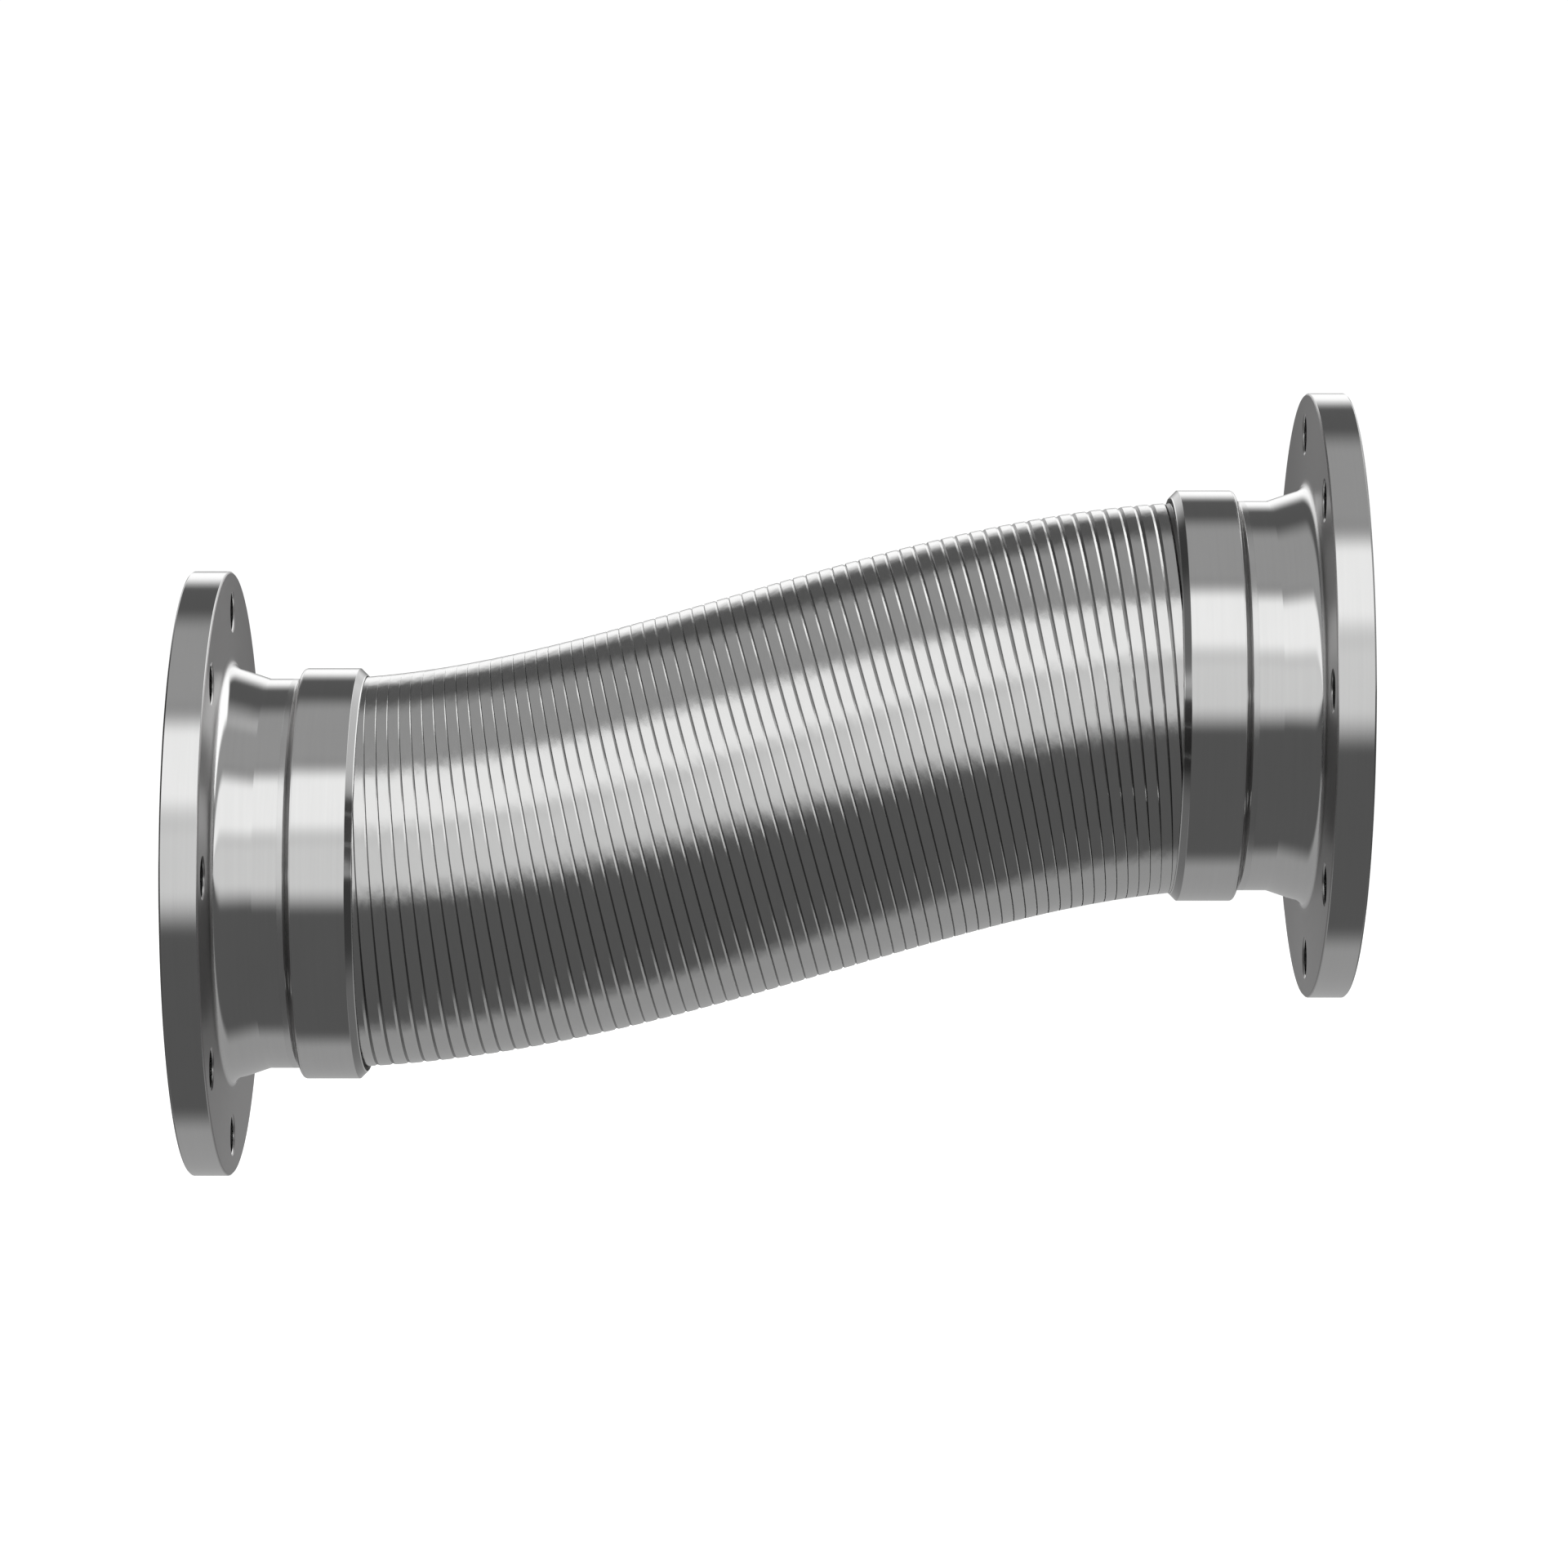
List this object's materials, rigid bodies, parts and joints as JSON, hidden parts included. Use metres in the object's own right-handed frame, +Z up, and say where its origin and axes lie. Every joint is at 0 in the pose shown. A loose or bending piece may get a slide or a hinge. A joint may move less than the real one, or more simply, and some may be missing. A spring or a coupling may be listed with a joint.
{
  "type": "flanged stripwound metal hose",
  "caption": "Large-bore flexible metal hose, a helically wound steel strip bent to a gentle S, with a welded sleeve and a weld-neck flange at each end, for carrying gas or vacuum.",
  "frame": {"origin": "centre of the left (lower) flange's sealing face, on the axis of its bore", "axes": "+X along the left bore towards the right flange, +Z up, in the plane of the hose's S-bend; the right flange's axis is parallel to X and 100 mm higher"},
  "size_m": [0.652, 0.34, 0.44],
  "materials": {
    "turned_steel": "finely turned stainless steel",
    "weld_steel": "weld metal ground smooth",
    "strip_steel": "bright rolled stainless strip, slightly wavy"
  },
  "bodies": {
    "root": {"flange_left": "turned_steel", "neck_weld_left": "weld_steel", "sleeve_left": "turned_steel", "hose_weld_left": "weld_steel", "hose_strip": "strip_steel", "hose_weld_right": "weld_steel", "sleeve_right": "turned_steel", "neck_weld_right": "weld_steel", "flange_right": "turned_steel"}
  },
  "joints": []
}
